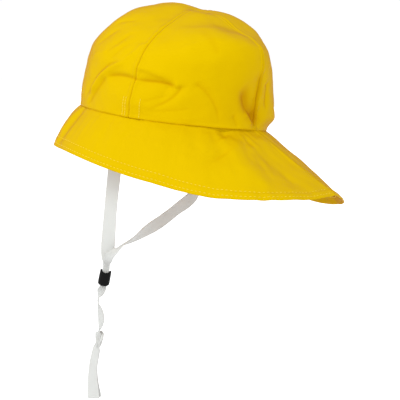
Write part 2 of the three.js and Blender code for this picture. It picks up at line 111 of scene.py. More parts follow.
def read(table, key, column, place):
    """A column of a table at any places along its key, on a smooth curve through the rows"""
    at = np.array([row[key] for row in table], float)
    value = np.array([row[column] for row in table], float)
    place = np.asarray(place, float)
    low = np.clip(np.searchsorted(at, place) - 1, 0, len(at) - 2)
    high = low + 1
    before = np.maximum(low - 1, 0)
    after = np.minimum(low + 2, len(at) - 1)
    span = at[high] - at[low]
    t = (place - at[low]) / span
    enter = (value[high] - value[before]) / (at[high] - at[before]) * span
    leave = (value[after] - value[low]) / (at[after] - at[low]) * span
    return (
        (2 * t**3 - 3 * t**2 + 1) * value[low]
        + (t**3 - 2 * t**2 + t) * enter
        + (3 * t**2 - 2 * t**3) * value[high]
        + (t**3 - t**2) * leave
    )


def half_turn(around):
    """An angle from the face brought between -180 and 180"""
    return (around + 180) % 360 - 180


def outwards(around):
    a = np.radians(around)
    return np.stack([np.sin(a), -np.cos(a), np.zeros_like(a)], -1)


def seam_lift(around):
    return brim_fall * read(brim_sections, "around", "lift", half_turn(around))


def bell(distance, width, middle=0):
    """1 at the middle of a ridge or groove, falling to nothing beside it"""
    return np.exp(-(((distance - middle) / width) ** 2))


def eased(share):
    return share * share * (3 - 2 * share)


def dent(fold, lengthwise, crosswise):
    """How far a broad fold moves the cloth at a distance from its middle, as a share like its own depth"""
    turn = math.radians(fold["turn"])
    along = lengthwise * math.cos(turn) + crosswise * math.sin(turn)
    across = crosswise * math.cos(turn) - lengthwise * math.sin(turn)
    return fold["depth"] * bell(along, fold["long"]) * bell(across, fold["wide"])


def crown_cloth(around, rise):
    """Places of the crown's outer face before it is pitched back on the head"""
    around, rise = np.broadcast_arrays(np.asarray(around, float), np.asarray(rise, float))
    ahead = np.cos(np.radians(around)) > 0
    endways = np.cos(np.radians(around)) ** 2

    def blend(what):
        face = read(crown_sections, "rise", "face_" + what, rise)
        neck = read(crown_sections, "rise", "neck_" + what, rise)
        side = read(crown_sections, "rise", "side_" + what, rise)
        return endways * np.where(ahead, face, neck) + (1 - endways) * side

    out, up = blend("out"), blend("up")
    way = outwards(around)
    point = way * np.array([opening_width / 2, opening_length / 2, 0]) * out[..., None]
    point[..., 1] += apex_set_back * up**2
    point[..., 2] = crown_height * up + seam_lift(around) * (1 - rise) ** 2
    relief = panel_puff * np.sin(2 * np.radians(around)) ** 2 * np.sin(np.pi * rise**2) ** 2
    girth = np.pi / 180 * opening_length / 2 * np.cos(rise * np.pi / 2) / crown_height
    fade = eased(np.minimum(1, rise * 8)) * (1 - rise**8)
    for fold in crown_folds:
        level = half_turn(around - fold["around"]) * girth
        upward = (rise - fold["rise"]) * crown_climb
        relief = relief + crown_height * dent(fold, level, upward) * fade
    point += way * (relief * np.cos(rise * np.pi / 2))[..., None]
    point[..., 2] += relief * np.sin(rise * np.pi / 2)
    return point


def pitched(point):
    """The hat leans back on the head: a turn about the line through both ears"""
    lean = math.radians(hat_pitch)
    x, y, z = point[..., 0], point[..., 1], point[..., 2]
    y_leant = y * math.cos(lean) + z * math.sin(lean)
    z_leant = z * math.cos(lean) - y * math.sin(lean)
    return np.stack([x, y_leant, z_leant], -1)


def cloth_normals(cloth, u, v, step_u, step_v):
    along_u = cloth(u + step_u, v) - cloth(u - step_u, v)
    along_v = cloth(u, v + step_v) - cloth(u, v - step_v)
    normal = np.cross(along_u, along_v)
    return normal / (np.linalg.norm(normal, axis=-1, keepdims=True) + 1e-12)


def crease(x, y, line, depth, left, right, sharp=1.5, shade=1.7):
    """A valley along a line on the flat cloth, in millimetres, with its own width on each side of the line

    A negative depth makes the line a ridge. The second result is painted shade for the material: the
    valley's depth, spread over the shade width along the line.
    """
    run = np.linspace(0, len(line) - 1, 8 * (len(line) - 1) + 1)
    rows = [dict(at=i, x=px, y=py) for i, (px, py) in enumerate(line)]
    line_x, line_y = read(rows, "at", "x", run), read(rows, "at", "y", run)
    nearest = np.full(x.shape, 1e9)
    share = np.zeros(x.shape)
    side = np.zeros(x.shape)
    for i in range(len(run) - 1):
        step_x, step_y = line_x[i + 1] - line_x[i], line_y[i + 1] - line_y[i]
        off_x, off_y = x - line_x[i], y - line_y[i]
        t = np.clip((off_x * step_x + off_y * step_y) / (step_x**2 + step_y**2 + 1e-9), 0, 1)
        gap = np.hypot(off_x - t * step_x, off_y - t * step_y)
        closer = gap < nearest
        nearest = np.where(closer, gap, nearest)
        share = np.where(closer, (i + t) / (len(run) - 1), share)
        side = np.where(closer, np.sign(step_x * off_y - step_y * off_x), side)
    fade = eased(np.clip(np.minimum(share, 1 - share) * 4 + 0.1, 0, 1))
    width = np.where(side > 0, left, right)
    power = 2.0 if depth < 0 else sharp
    height = -depth * np.exp(-((nearest / width) ** power))
    return height * fade, max(depth, 0) * bell(nearest, shade) * fade


def add_creases(creases, relief, painted_shade, around, place, flatten, reach, shade_weight, **shape):
    """Adds a table of creases to a relief and to its painted shade, each within its reach round the hat in
    degrees
    """
    x, y = flatten(around, place)
    for row in creases:
        points = np.array(row["line"])
        line = list(zip(*flatten(points[:, 0], points[:, 1])))
        near = np.abs(half_turn(around - points[0, 0])) < reach
        own = {name: row[name] for name in row if name != "line"}
        height, depth = crease(x[near], y[near], line, **shape, **own)
        relief[near] += height
        painted_shade[near] += shade_weight * depth


def soft_waves(point, seed, longest, shortest, count=26):
    """Gentle unevenness of the cloth, the same on every run, between -1 and 1 or so"""
    chance = np.random.default_rng(seed)
    total = np.zeros(point.shape[:-1])
    for _ in range(count):
        direction = chance.normal(size=3)
        direction /= np.linalg.norm(direction)
        length = shortest * (longest / shortest) ** chance.random()
        phase = chance.random() * 2 * math.pi
        total += np.sin(2 * math.pi / length * (point @ direction) + phase)
    return total / math.sqrt(count)


# Creases of the crown, each along (around, rise) places, with its depth and its widths to the left and right
# of that line in millimetres, and for some the width of the painted shade along it
crown_creases = [
    dict(line=[(70, 0.29), (76, 0.311), (82.2, 0.321), (89, 0.318), (95, 0.308)],
         depth=2.7, left=3.4, right=13),
    dict(line=[(90, 0.306), (100.8, 0.312), (106.8, 0.315), (112.8, 0.307), (118, 0.288)],
         depth=3.4, left=5.6, right=14),
    dict(line=[(86, 0.45), (94, 0.405), (100.5, 0.393), (107.2, 0.365), (116, 0.322), (121, 0.28)],
         depth=-1.6, left=7, right=3.2),
    dict(line=[(104, 0.09), (112, 0.155), (116.8, 0.21), (119.8, 0.27), (119.4, 0.31)],
         depth=1.8, left=10, right=4.5),
    dict(line=[(99, 0.14), (102.8, 0.155), (108.8, 0.19), (115, 0.23)], depth=0.8, left=4, right=4.5),
    dict(line=[(100, 0.08), (111, 0.09), (122, 0.12), (130, 0.15)], depth=0.7, left=5, right=5),
    dict(line=[(54, 0.02), (58, 0.08), (62, 0.15), (65.2, 0.2), (68.2, 0.253), (72, 0.3)],
         depth=2.0, left=3.2, right=9),
    dict(line=[(55, 0.13), (58.2, 0.18), (64.2, 0.27), (70, 0.338), (77, 0.4), (86.2, 0.45)],
         depth=-1.8, left=3.6, right=4.2),
    dict(line=[(49, 0.08), (52.5, 0.14), (56.8, 0.21), (61, 0.283), (66, 0.345), (71, 0.4), (79, 0.44)],
         depth=1.6, left=7, right=3),
    dict(line=[(64, 0.46), (67.5, 0.537), (70.2, 0.608), (72, 0.69)], depth=0.9, left=5, right=3),
    dict(line=[(47, 0.41), (55, 0.44), (64.8, 0.495), (70, 0.57)], depth=-0.8, left=5, right=4),
    dict(line=[(44, 0.69), (50, 0.72), (54, 0.738), (60, 0.775)], depth=0.8, left=4, right=3),
    dict(line=[(47, 0.5), (50.5, 0.547), (52.5, 0.608), (57, 0.69)], depth=0.8, left=4, right=4),
    dict(line=[(69, 0.42), (72, 0.48), (74.5, 0.53), (80, 0.63)], depth=0.7, left=3.5, right=4),
    dict(line=[(80, 0.44), (84, 0.5), (87, 0.57), (88, 0.64)], depth=-0.9, left=3, right=4),
    dict(line=[(127, 0.34), (131, 0.32), (136.5, 0.273), (141.5, 0.208), (145.5, 0.125), (148, 0.0)],
         depth=1.3, left=4, right=9),
    dict(line=[(124, 0.29), (130, 0.26), (135, 0.2), (139, 0.12), (141, 0.03)], depth=-0.8, left=6, right=6),
    dict(line=[(160, 0.34), (165, 0.27), (168, 0.205), (172, 0.155), (177, 0.105), (184, 0.02)],
         depth=3.6, left=13, right=6, shade=9),
    dict(line=[(180, 0.5), (180, 0.36), (179, 0.2), (181, -0.05)], depth=2.4, left=9, right=11, shade=5),
    dict(line=[(167, 0.14), (171, 0.12), (174, 0.08), (176, 0.03)], depth=-1.5, left=4.5, right=4.5),
    dict(line=[(157, 0.12), (160, 0.06), (161, 0.01)], depth=1.0, left=3, right=5),
    dict(line=[(128, 0.81), (132.8, 0.7), (136.8, 0.628), (141, 0.55)], depth=0.8, left=3.5, right=6),
    dict(line=[(118, 0.64), (120.8, 0.59), (125, 0.515), (129, 0.44)], depth=-0.6, left=6, right=6),
    dict(line=[(184, 0.42), (183.5, 0.3), (181.5, 0.17), (179.8, 0.05)], depth=-1.0, left=3, right=4),
    dict(line=[(188, 0.4), (190.5, 0.36), (190.4, 0.26), (190.5, 0.15)], depth=1.8, left=4, right=4),
    dict(line=[(204, 0.12), (212, 0.2), (222, 0.3), (236, 0.34)], depth=1.7, left=4, right=8),
    dict(line=[(222, 0.06), (231, 0.16), (240, 0.22)], depth=1.2, left=3, right=6),
    dict(line=[(246, 0.29), (256, 0.32), (267.5, 0.318)], depth=1.8, left=3, right=10),
    dict(line=[(268.5, 0.318), (278, 0.32), (290, 0.29), (300, 0.25)], depth=1.6, left=3, right=9),
    dict(line=[(252, 0.39), (266, 0.41), (284, 0.385)], depth=-1.1, left=4, right=4),
    dict(line=[(298, 0.06), (306, 0.2), (313, 0.33)], depth=1.2, left=3, right=5),
    dict(line=[(240, 0.5), (250, 0.57), (258, 0.66)], depth=0.8, left=4, right=5),
    dict(line=[(290, 0.6), (300, 0.52), (312, 0.48)], depth=0.8, left=4, right=5),
    dict(line=[(330, 0.03), (337, 0.13), (343, 0.25)], depth=1.1, left=3, right=6),
    dict(line=[(8, 0.03), (14, 0.15), (17, 0.28)], depth=1.1, left=5, right=3),
    dict(line=[(28, 0.34), (37, 0.28), (43, 0.2)], depth=0.9, left=3, right=6),
    dict(line=[(350, 0.4), (341, 0.5), (332, 0.56)], depth=0.8, left=4, right=5),
]
seam_lines = [0, side_seam, 180, 360 - side_seam, 360]
# The tapes are sewn in between these angles, up to this height on flat cloth in millimetres
tape_end_edges = (87.0, 99.8)
tape_end_height = 22


def crown_flat(around, rise):
    """Where a place of the crown lies on flat cloth, in millimetres"""
    return around * seam_degree * read(crown_sections, "rise", "side_out", rise), rise * seam_to_apex


def crown_relief(around, rise, point):
    """Height of creases, seams and unevenness on the crown, in metres, and the painted shade of its creases,
    seams and foot
    """
    narrowing = read(crown_sections, "rise", "side_out", rise)
    _, flat_y = crown_flat(around, rise)
    relief = 0.5 * soft_waves(point, 11, 0.08, 0.024)
    relief += 0.12 * soft_waves(point, 12, 0.02, 0.009)
    relief *= np.clip(flat_y / 6, 0, 1)
    painted_shade = np.zeros_like(relief)
    add_creases(crown_creases, relief, painted_shade, around, rise, crown_flat, reach=75, shade_weight=1)
    left_edge, right_edge = tape_end_edges
    for low, high in ((left_edge, right_edge), (360 - right_edge, 360 - left_edge)):
        inside = np.clip((around - low) * seam_degree / 1.2, 0, 1)
        inside = inside * np.clip((high - around) * seam_degree / 1.2, 0, 1)
        relief += 0.45 * inside * np.clip((tape_end_height - flat_y) / 2, 0, 1)
    for seam in seam_lines:
        beside = np.abs(half_turn(around - seam)) * seam_degree * narrowing
        pucker = np.sin(flat_y / 2.7 + seam) + 0.6 * np.sin(flat_y / 1.3 + 2 * seam)
        relief += 0.6 * bell(beside, 1.3, 2.3) + 0.13 * pucker * bell(beside, 2.8, 4.4)
        relief -= 0.4 * bell(beside, 0.6)
        # Painted shade along the seam's groove
        painted_shade += 0.4 * bell(beside, 0.8)
    relief *= 1 - rise**10
    relief += 0.2 * bell(flat_y, 1.8, 2.4) - 0.2 * bell(flat_y, 0.7)
    return relief * 0.001, painted_shade + 0.35 * bell(flat_y, 0.8)


def new_grid(name, columns, rows):
    """A flat grid to be laid onto the hat, with its columns in u and its rows in v, both from 0 to 1"""
    bpy.ops.object.select_all(action="DESELECT")
    bpy.ops.mesh.primitive_grid_add(x_subdivisions=columns, y_subdivisions=rows, size=1)
    piece = bpy.context.object
    piece.name = piece.data.name = name
    place = np.empty(3 * len(piece.data.vertices))
    piece.data.vertices.foreach_get("co", place)
    place = place.reshape(-1, 3)
    return piece, place[:, 0] + 0.5, place[:, 1] + 0.5


def lay(piece, points, painted_shade_map):
    """Moves a grid's points onto the hat and keeps its painted shade for the material, in the attribute fold
    """
    piece.data.vertices.foreach_set("co", points.astype(np.float32).ravel())
    note = piece.data.attributes.new("fold", "FLOAT", "POINT")
    note.data.foreach_set("value", painted_shade_map.astype(np.float32).ravel())
    piece.data.update()


def work_on(piece, tool, **settings):
    """Runs one of Blender's mesh tools on a whole piece and leaves the piece selected"""
    bpy.ops.object.select_all(action="DESELECT")
    piece.select_set(True)
    bpy.context.view_layer.objects.active = piece
    bpy.ops.object.mode_set(mode="EDIT")
    bpy.ops.mesh.select_all(action="SELECT")
    tool(**settings)
    bpy.ops.object.mode_set(mode="OBJECT")


def finish_cloth(piece, wall):
    """Closes the points that meet, gives the cloth its wall and its inner side, whose darker colour is
    painted shade, and smooths it
    """
    work_on(piece, bpy.ops.mesh.remove_doubles, threshold=0.00002)
    thicken = piece.modifiers.new("wall", "SOLIDIFY")
    thicken.thickness = wall
    thicken.offset = -1
    # The inner side takes the darker material of painted shade
    thicken.material_offset = 1
    piece.data.materials.append(yellow_cotton)
    piece.data.materials.append(inner_cotton_painted_shade)
    bpy.ops.object.modifier_apply(modifier=thicken.name)
    bpy.ops.object.shade_smooth()


def new_material(name):
    material = bpy.data.materials.new(name)
    material.use_nodes = True
    return material, material.node_tree


def set_inputs(tree, node, values):
    """Sets each input of a node to a value, or links it where the value is another node's output"""
    for name, value in values.items():
        if isinstance(value, bpy.types.NodeSocket):
            tree.links.new(value, node.inputs[name])
        else:
            node.inputs[name].default_value = value


def set_surface(tree, values):
    set_inputs(tree, tree.nodes["Principled BSDF"], values)


def add_node(tree, kind, values=(), **settings):
    node = tree.nodes.new("ShaderNode" + kind)
    for name, setting in settings.items():
        setattr(node, name, setting)
    set_inputs(tree, node, dict(values))
    return node


def noise(tree, scale, detail=2):
    where = add_node(tree, "TexCoord").outputs["Object"]
    values = {"Vector": where, "Scale": scale, "Detail": detail}
    return add_node(tree, "TexNoise", values).outputs["Fac"]


def mixed(tree, factor, first, second):
    """A colour that runs from a first to a second one as the factor runs from 0 to 1"""
    values = {"Factor": factor, "A": first, "B": second}
    return add_node(tree, "Mix", values, data_type="RGBA").outputs["Result"]


def mapped(tree, value, given, wanted, run="LINEAR"):
    """A value brought from one span of numbers to another"""
    values = {"Value": value, "From Min": given[0], "From Max": given[1]}
    values.update({"To Min": wanted[0], "To Max": wanted[1]})
    return add_node(tree, "MapRange", values, interpolation_type=run).outputs["Result"]


def maths(tree, operation, *values, clamp=False):
    values = dict(enumerate(values))
    return add_node(tree, "Math", values, operation=operation, use_clamp=clamp).outputs["Value"]


def bumps(tree, height, distance, strength, **under):
    values = {"Height": height, "Distance": distance, "Strength": strength, **under}
    return add_node(tree, "Bump", values).outputs["Normal"]


def coated_cotton():
    """Yellow coated cotton: half matt, with a fine grain, and painted shade: deeper orange in its creases,
    seams and hem, and at its rims where it turns away from view
    """
    cloth, tree = new_material("yellow_coated_cotton")
    tone = mixed(tree, noise(tree, 26, 4), (0.715, 0.48, 0.0001, 1), (0.695, 0.452, 0.0001, 1))
    # The attribute fold carries the painted shade of creases, seams and the hem's inside
    fold = add_node(tree, "Attribute", attribute_name="fold").outputs["Fac"]
    painted_fold_shade = mapped(tree, fold, (0.15, 4.8), (0, 0.7))
    # Painted shade at the rims: the colour darkens to deeper orange where the cloth turns away from view
    aslant = add_node(tree, "LayerWeight", {"Blend": 0.5}).outputs["Facing"]
    painted_shade_amount = maths(tree, "MULTIPLY_ADD", maths(tree, "POWER", aslant, 3), 0.85, painted_fold_shade, clamp=True)
    grain = bumps(tree, noise(tree, 1500), distance=0.00006, strength=0.5)
    set_surface(tree, {
        # The deeper orange below is the colour of the painted shade
        "Base Color": mixed(tree, painted_shade_amount, tone, (0.47, 0.185, 0.0001, 1)),
        "Roughness": mapped(tree, noise(tree, 90, 3), (0, 1), (0.5, 0.62)),
        "IOR": 1.46,
        "Specular IOR Level": 0.03,
        "Specular Tint": (1.0, 0.8, 0.12, 1),
        "Normal": bumps(tree, noise(tree, 210, 3), distance=0.0004, strength=0.45, Normal=grain),
    })
    return cloth


def shaded_inner_cotton():
    """The cloth's inner side: matt cotton with its weave, in a darker orange that is painted shade for the
    same yellow in shadow
    """
    cloth, tree = new_material("inner_yellow_cotton_painted_shade")
    weave = noise(tree, 1800)
    set_surface(tree, {
        "Base Color": mixed(tree, weave, (0.40, 0.165, 0.002, 1), (0.47, 0.215, 0.004, 1)),
        "Roughness": 0.92,
        "Specular IOR Level": 0.1,
        "Normal": bumps(tree, weave, distance=0.0001, strength=0.6),
    })
    return cloth


yellow_cotton = coated_cotton()
inner_cotton_painted_shade = shaded_inner_cotton()


def crown_gore(name, node, start, end):
    """One gore between two seams, with its columns closer together beside them"""
    piece, u, rise = new_grid(name, 150, 140)
    around = start + (0.3 * u + 0.7 * eased(u)) * (end - start)
    base = crown_cloth(around, rise)
    normal = cloth_normals(crown_cloth, around, np.clip(rise, 0.002, 0.995), 0.2, 0.002)
    relief, painted_shade = crown_relief(around, rise, base)
    lay(piece, pitched(base + normal * relief[:, None]), painted_shade)
    finish_cloth(piece, cloth_wall)
    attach(piece, "root")
    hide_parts(node)
    return piece


crown_gore("gore_front_left", "crown_panel_front_left", 0, side_seam)
crown_gore("gore_back_left", "crown_panel_back_left", side_seam, 180)
crown_gore("gore_back_right", "crown_panel_back_right", 180, 360 - side_seam)
crown_gore("gore_front_right", "crown_panel_front_right", 360 - side_seam, 360)


# The brim is one long piece of the same cloth, gathered a little into the crown seam over the neck. Its top
# edge is turned up inside the crown, its free edge is turned under into a hem, and both are machine sewn.
hem_depth = 0.0105
hem_gap = 0.0018
upper_row, lower_row = 9.2, 2.6
allowance = 0.006
brim_wall = 0.0007
brim_columns = 600
# Painted shade inside the hem, where little light comes, given as a depth of fold
hem_shade = 2.4

# Along the brim's seam, in millimetres of flat cloth: the radius of its turn, and one degree beside its join
seam_radius = 95
join_degree = 3.2

brim_fold_columns = ("around", "across", "turn", "long", "wide", "depth")
brim_folds = named(brim_fold_columns, [
    (97, 0.25, 0, 0.35, 0.08, -0.008),
    (131, 0.3, 0, 0.4, 0.08, -0.010),
    (144, 0.42, 12, 0.5, 0.1, -0.012),
    (152, 0.5, 10, 0.45, 0.11, 0.016),
    (168, 0.62, 8, 0.45, 0.13, -0.020),
    (178, 0.3, 0, 0.35, 0.09, 0.012),
    (116, 0.6, 0, 0.4, 0.14, 0.014),
    (50, 0.5, 0, 0.4, 0.08, -0.012),
])
brim_creases = [
    dict(line=[(46, 0.01), (47.5, 0.1), (48.5, 0.4), (48.2, 0.8), (47, 1.0)],
         depth=1.09, left=4.5, right=7.8),
    dict(line=[(42, 0.05), (43, 0.4), (42, 0.8)], depth=-0.75, left=6.0, right=5.2),
    dict(line=[(88, 0.06), (88.6, 0.12), (91.5, 0.233), (93, 0.36)], depth=0.34, left=3.6, right=5.2),
    dict(line=[(98.5, -0.12), (97.8, 0.08), (97.2, 0.27), (93.2, 0.49)], depth=0.62, left=3.6, right=5.9),
    dict(line=[(129.6, -0.12), (130, 0.06), (131.8, 0.13), (133, 0.385), (133.5, 0.66)],
         depth=0.88, left=3.3, right=6.5),
    dict(line=[(134.5, 0.03), (136, 0.25), (136, 0.4)], depth=-0.41, left=5.2, right=4.5),
    dict(line=[(145.4, -0.12), (144.8, 0.06), (141.5, 0.23), (137.8, 0.448), (136.2, 0.66)],
         depth=1.09, left=4.5, right=7.8),
    dict(line=[(148.4, -0.12), (148.2, 0.07), (146, 0.18)], depth=1.2, left=2.7, right=3.1),
    dict(line=[(154.6, -0.12), (154, 0.07), (148.5, 0.23), (143.5, 0.375), (140.8, 0.508)],
         depth=1.29, left=5.1, right=7.8),
    dict(line=[(146, 0.32), (142, 0.44), (140.5, 0.6), (141.2, 0.78), (141, 0.97)],
         depth=0.88, left=9.0, right=5.9),
    dict(line=[(158.5, 0.03), (151.8, 0.27), (147, 0.45), (146, 0.7)], depth=-0.88, left=7.5, right=5.2),
    dict(line=[(166.4, -0.12), (166.2, 0.07), (163, 0.155), (159.8, 0.3)], depth=1.09, left=3.3, right=6.5),
    dict(line=[(171, 0.02), (168, 0.15), (166, 0.3)], depth=-0.41, left=4.5, right=3.9),
    dict(line=[(176.4, -0.12), (176, 0.05), (172, 0.13)], depth=0.82, left=3.0, right=4.5),
    dict(line=[(151, -0.12), (151.4, 0.05), (151, 0.1)], depth=0.62, left=2.2, right=2.3),
    dict(line=[(139.5, -0.12), (139.6, 0.05), (139, 0.1)], depth=0.47, left=2.2, right=2.3),
    dict(line=[(176, 0.2), (172.5, 0.3), (171.8, 0.475), (162.8, 0.738), (159, 0.95)],
         depth=1.5, left=15.0, right=18.2),
    dict(line=[(198, -0.12), (201, 0.25), (206, 0.5), (209, 0.8)], depth=1.36, left=4.5, right=10.4),
    dict(line=[(214, -0.12), (216, 0.2), (221, 0.45)], depth=1.15, left=3.6, right=7.8),
    dict(line=[(229, -0.12), (228, 0.3), (225, 0.6)], depth=0.95, left=7.5, right=3.1),
    dict(line=[(263, -0.12), (266, 0.4)], depth=0.68, left=3.6, right=5.2),
    dict(line=[(312, -0.12), (310, 0.5), (311, 0.9)], depth=0.82, left=6.0, right=3.9),
]


def brim_leg(around):
    angle = half_turn(around)
    out = brim_reach * read(brim_sections, "around", "out", angle)
    fall = brim_fall * read(brim_sections, "around", "fall", angle) + seam_lift(around)
    return out, fall, read(brim_sections, "around", "bow", angle)


def brim_depth(around):
    """How far the brim reaches along its cloth from seam to edge, in metres"""
    out, fall, _ = brim_leg(around)
    return np.hypot(out, fall)


def brim_cloth(around, across):
    """Places of the brim's upper face from the seam, across 0, to the edge, across 1"""
    out, fall, bow = brim_leg(around)
    length = np.hypot(out, fall)
    lifted = 4 * across * (1 - across) * bow * length
    radius = opening_length / 2 + out * across
    for fold in brim_folds:
        aside = np.radians(half_turn(around - fold["around"])) * radius / brim_reach
        outward = (across - fold["across"]) * length / brim_reach
        lifted = lifted + brim_reach * dent(fold, outward, aside) * np.clip(across * 6, 0, 1)
    sideways = out * across + lifted * fall / length
    point = crown_cloth(around, np.zeros_like(across)) + outwards(around) * sideways[..., None]
    point[..., 2] += -fall * across + lifted * out / length
    return point


def brim_flat(around, across):
    """Where a place of the brim lies on flat cloth, in millimetres"""
    out, _, _ = brim_leg(around)
    return np.radians(around) * (seam_radius + 1000 * out * across), across * 1000 * brim_depth(around)


def brim_relief(around, across, point):
    """Height of gathers, creases, the hem's edge and unevenness on the brim, in metres, and the painted
    shade of its creases, join, seam and upper stitch row
    """
    flat_x, flat_y = brim_flat(around, across)
    relief = 0.42 * soft_waves(point, 21, 0.09, 0.03)
    relief += 0.12 * soft_waves(point, 22, 0.02, 0.01)
    relief *= np.clip(flat_y / 6, 0, 1)
    from_join = np.abs(half_turn(around - 180)) * join_degree
    chance = np.random.default_rng(8)
    behind = 0.7 - 0.3 * np.cos(np.radians(around))
    for _ in range(14):
        length = 8 * 3.2 ** chance.random()
        lean = chance.normal() * 0.12
        along = np.radians(around) * 110 + lean * flat_y
        relief += 0.04 * behind * np.sin(2 * math.pi * (along / length + chance.random()))
    painted_shade = np.zeros_like(relief)
    add_creases(brim_creases, relief, painted_shade, around, across, brim_flat, reach=60, shade_weight=0.15, sharp=2.0)
    chance = np.random.default_rng(5)
    gather_at = 12.0
    while gather_at < 352:
        fullness = 0.3 + 0.7 * max(0.0, -math.cos(math.radians(gather_at)))
        seen = 90 < gather_at < 178
        depth = chance.uniform(0.3, 0.8) * fullness * (0.35 if seen else 1)
        wide, reach = chance.uniform(1.6, 3.2), chance.uniform(7, 20)
        beside = np.radians(half_turn(around - gather_at)) * seam_radius
        relief -= depth * bell(beside, wide) * bell(flat_y, reach)
        gather_at += chance.uniform(5, 10)
    relief += 0.15 * bell(flat_y, 1.8, 2.2) - 0.2 * bell(flat_y, 0.7)
    relief *= np.clip(from_join / 7, 0, 1)
    relief += 0.45 * bell(from_join, 1.4, 2.4) - 0.3 * bell(from_join, 0.7)
    # Painted shade along the brim's join
    painted_shade += 0.35 * bell(from_join, 0.8)
    from_edge = 1000 * brim_depth(around) * (1 - across)
    seam_pull = 1 + 0.35 * np.sin(flat_x / 1.9) + 0.3 * np.sin(flat_x / 5.3)
    relief -= 0.3 * seam_pull * bell(from_edge, 1.1, upper_row)
    relief += 0.3 * bell(from_edge, 2.2, 5.6)
    relief -= 0.2 * seam_pull * bell(from_edge, 0.9, lower_row)
    # Painted shade along the crown seam and the upper stitch row
    painted_shade += 0.25 * bell(flat_y, 0.8) + 0.2 * bell(from_edge, 1.2, upper_row)
    return relief * 0.001, painted_shade


def brim_face(around, across):
    """The brim's upper face with its relief, the way out of that face, and its painted shade"""
    base = brim_cloth(around, across)
    normal = -cloth_normals(brim_cloth, around, np.clip(across, 0.01, 0.99), 0.2, 0.005)
    relief, painted_shade = brim_relief(around, across, base)
    return base + normal * relief[:, None], normal, painted_shade


def brim_rows():
    """One row of the brim after the other, from inside the hem round its edge and up to the crown seam"""
    rows = [("under", s) for s in np.linspace(1.0, 0.06, 5)]
    rows += [("edge", a) for a in (150, 115, 90, 65, 30)]
    rows += [("top", s) for s in np.linspace(0, 0.16, 13)[1:]]
    rows += [("top", s) for s in np.linspace(0.16, 0.97, 38)[1:]]
    rows += [("top", s) for s in (0.978, 0.985, 0.991, 0.996, 1.0)]
    rows += [("inside", s) for s in (0.25, 0.6, 1.0)]
    return rows


def make_brim():
    rows = brim_rows()
    piece, u, v = new_grid("brim_cloth", brim_columns, len(rows) - 1)
    around = -180 + u * 360
    row_of = np.rint(v * (len(rows) - 1)).astype(int)
    points = np.zeros((len(u), 3))
    painted_shade_map = np.zeros(len(u))
    for index, (kind, share) in enumerate(rows):
        here = row_of == index
        a = around[here]
        across = np.ones_like(a)
        if kind == "under":
            across = 1 - share * hem_depth / brim_depth(a)
        if kind == "top":
            across = 1 - share * np.ones_like(a)
        if kind == "inside":
            across = np.zeros_like(a)
        point, normal, painted_shade = brim_face(a, across)
        if kind == "edge":
            outer = brim_cloth(a, np.ones_like(a)) - brim_cloth(a, np.full_like(a, 0.97))
            outer /= np.linalg.norm(outer, axis=-1, keepdims=True)
            bend = math.radians(share)
            point = point + normal * (hem_gap / 2 * (math.cos(bend) - 1))
            point = point + outer * (hem_gap / 2 * math.sin(bend))
        if kind == "under":
            point = point - normal * hem_gap
            painted_shade = painted_shade + hem_shade
        if kind == "inside":
            up_inside = crown_cloth(a, np.full_like(a, share * allowance * 1000 / seam_to_apex))
            point = up_inside - outwards(a) * (0.0012 + 0.0006 * share)
        points[here] = point
        painted_shade_map[here] = painted_shade
    lay(piece, pitched(points), painted_shade_map)
    finish_cloth(piece, brim_wall)
    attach(piece, "root")
    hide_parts("brim")


make_brim()


# The hem is held by two rows of lockstitch in pale yellow thread, one near its fold and one along its upper
# turn, and three short rows on each side of the crown hold the sewn-in tape ends. Each stitch is a short
# length of thread that lies on the cloth and dips into it at both ends.
stitch_pitch = 0.0043
stitch_long = 0.0028
thread_thick = 0.0006


def edge_run(across_mm, side):
    """Evenly spaced places at a distance from the brim's edge, with the way along and outwards"""
    around = np.linspace(-179.6, 179.6, 4000)
    line, normal, _ = brim_face(around, 1 - across_mm / (1000 * brim_depth(around)))
    if side < 0:
        line = line - normal * (hem_gap + 0.0001)
    run = np.concatenate([[0], np.cumsum(np.linalg.norm(np.diff(line, axis=0), axis=1))])
    at = np.arange(0.003, run[-1] - 0.003, stitch_pitch)

    def along_run(values, where):
        return np.stack([np.interp(where, run, values[:, k]) for k in range(3)], -1)

    place = along_run(line, at)
    onward = along_run(line, at + 0.0008) - place
    return pitched(place), pitched(onward), pitched(along_run(normal, at) * side)


def upright_run(around):
    """Evenly spaced places of a row that climbs the crown, with the way up and outwards"""
    rise = np.arange(0.02, 0.158, 0.75 * stitch_pitch * 1000 / seam_to_apex)
    side = np.full_like(rise, around)
    base = crown_cloth(side, rise)
    relief, _ = crown_relief(side, rise, base)
    onward = crown_cloth(side, rise + 0.004) - base
    return pitched(base + outwards(side) * relief[:, None]), pitched(onward), pitched(outwards(side))


def new_piece(name, points, faces):
    mesh = bpy.data.meshes.new(name)
    mesh.from_pydata(points, [], faces)
    piece = bpy.data.objects.new(name, mesh)
    bpy.context.collection.objects.link(piece)
    return piece


bpy.ops.object.select_all(action="DESELECT")
bpy.ops.mesh.primitive_uv_sphere_add(segments=6, ring_count=6, radius=0.5)
one_stitch = bpy.context.object
stitch_shape = np.array([tuple(corner.co) for corner in one_stitch.data.vertices])
stitch_faces = [list(face.vertices) for face in one_stitch.data.polygons]
bpy.data.objects.remove(one_stitch, do_unlink=True)

